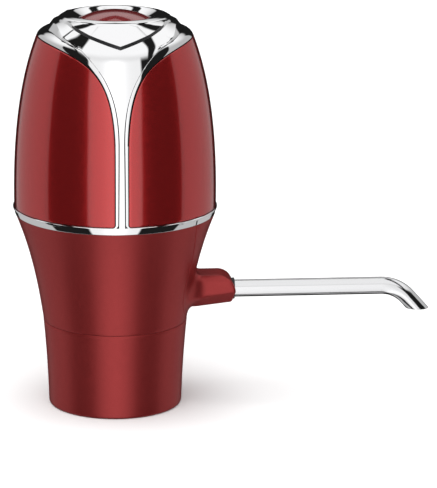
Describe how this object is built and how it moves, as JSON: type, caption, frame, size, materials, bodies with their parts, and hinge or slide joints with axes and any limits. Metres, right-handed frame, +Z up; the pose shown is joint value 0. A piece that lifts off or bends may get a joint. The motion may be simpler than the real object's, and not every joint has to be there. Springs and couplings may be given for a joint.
{
  "type": "electric wine aerator",
  "caption": "Push-button wine aerator that seats on a bottle's neck: flared red body with chrome frame and crown, and a bent steel pouring spout on one side.",
  "frame": {"origin": "middle of the bottle's mouth, where the stopper enters it", "axes": "+Z up along the bottle, +X along the spout, the chrome ribs face -Y and +Y"},
  "size_m": [0.1254, 0.0604, 0.1193],
  "materials": {
    "satin_red": "satin metallic red lacquer",
    "bridge_red": "satin metallic red lacquer",
    "gloss_red": "clear-coated metallic red",
    "button_red": "clear-coated deep red",
    "chrome": "polished chrome plating",
    "steel": "polished stainless tube",
    "stopper_rubber": "matt food-grade silicone",
    "food_plastic": "translucent natural plastic",
    "hose_silicone": "silicone hose",
    "valve_white": "moulded white",
    "seal_rubber": "seal rubber",
    "black_plastic": "moulded black",
    "screw_steel": "zinc-plated",
    "pump_grey": "moulded grey",
    "pom_white": "acetal",
    "shaft_steel": "ground steel",
    "motor_steel": "plated can",
    "magnet": "ferrite and carbon",
    "rotor_iron": "laminated iron",
    "copper": "enamelled copper",
    "cell_jacket": "plain cell jacket",
    "contact_metal": "nickel-plated spring metal",
    "board_green": "solder mask",
    "switch_black": "switch body",
    "wire_red": "wire insulation",
    "wire_black": "wire insulation"
  },
  "bodies": {
    "housing": {"bottle_collar": "satin_red", "lower_housing": "satin_red", "spout_bridge": "bridge_red", "spout_tube": "steel", "bottle_stopper": "stopper_rubber", "wine_elbow": "food_plastic", "air_hose": "hose_silicone", "air_check_valve": "valve_white", "spout_sleeve": "seal_rubber", "spout_o_rings": "seal_rubber", "chassis": "black_plastic", "collar_screws": "screw_steel", "carrier_screws": "screw_steel", "board_screws": "screw_steel", "pump_screws": "screw_steel", "motor_screws": "screw_steel", "pump_head_cover": "pump_grey", "valve_plate": "pump_grey", "pump_frame": "pump_grey", "pump_valves": "seal_rubber", "pump_diaphragm": "seal_rubber", "motor_can": "motor_steel", "motor_end_cap": "black_plastic", "motor_magnets": "magnet", "motor_brushes": "magnet", "battery_carrier": "black_plastic", "battery_cell_1": "cell_jacket", "battery_cell_2": "cell_jacket", "battery_cell_3": "cell_jacket", "battery_cell_4": "cell_jacket", "contact_springs": "contact_metal", "contact_plates": "contact_metal", "circuit_board": "board_green", "tact_switch": "switch_black", "power_wire_red": "wire_red", "power_wire_black": "wire_black"},
    "cover": {"upper_liner": "black_plastic", "chrome_frame": "chrome", "panel_left": "gloss_red", "panel_right": "gloss_red", "button_retainer": "black_plastic", "retainer_screws": "screw_steel"},
    "button": {"push_button": "button_red", "button_spring": "contact_metal"},
    "plunger": {"switch_plunger": "pom_white"},
    "rotor": {"rotor_core": "rotor_iron", "rotor_coils": "copper", "motor_shaft": "shaft_steel", "motor_commutator": "copper", "eccentric_wheel": "pom_white", "eccentric_pin": "shaft_steel"},
    "bracket": {"wobble_bracket": "pom_white"}
  },
  "joints": [
    {"name": "cover_lift", "type": "slide", "parent": "housing", "child": "cover", "axis": [0, 0, 1], "range_m": [0, 0.052]},
    {"name": "button_press", "type": "slide", "parent": "cover", "child": "button", "axis": [0, 0, -1], "range_m": [0, 0.0015], "stiffness_N_per_m": 600, "springref_m": -0.001, "deforming": ["button_spring"]},
    {"name": "switch_press", "type": "slide", "parent": "housing", "child": "plunger", "axis": [0, 0, -1], "range_m": [0, 0.0003]},
    {"name": "rotor_spin", "type": "hinge", "parent": "housing", "child": "rotor", "pos_m": [0, 0, 0.04], "axis": [0, 0, 1], "continuous": true},
    {"name": "bracket_wobble", "type": "hinge", "parent": "rotor", "child": "bracket", "pos_m": [0, 0, 0.0245], "axis": [0.1478, 0, 0.989], "continuous": true, "deforming": ["pump_diaphragm"]}
  ],
  "couplings": [
    {"joint": "switch_press", "follows": "button_press", "ratio": 0.2},
    {"joint": "bracket_wobble", "follows": "rotor_spin", "ratio": -1}
  ]
}
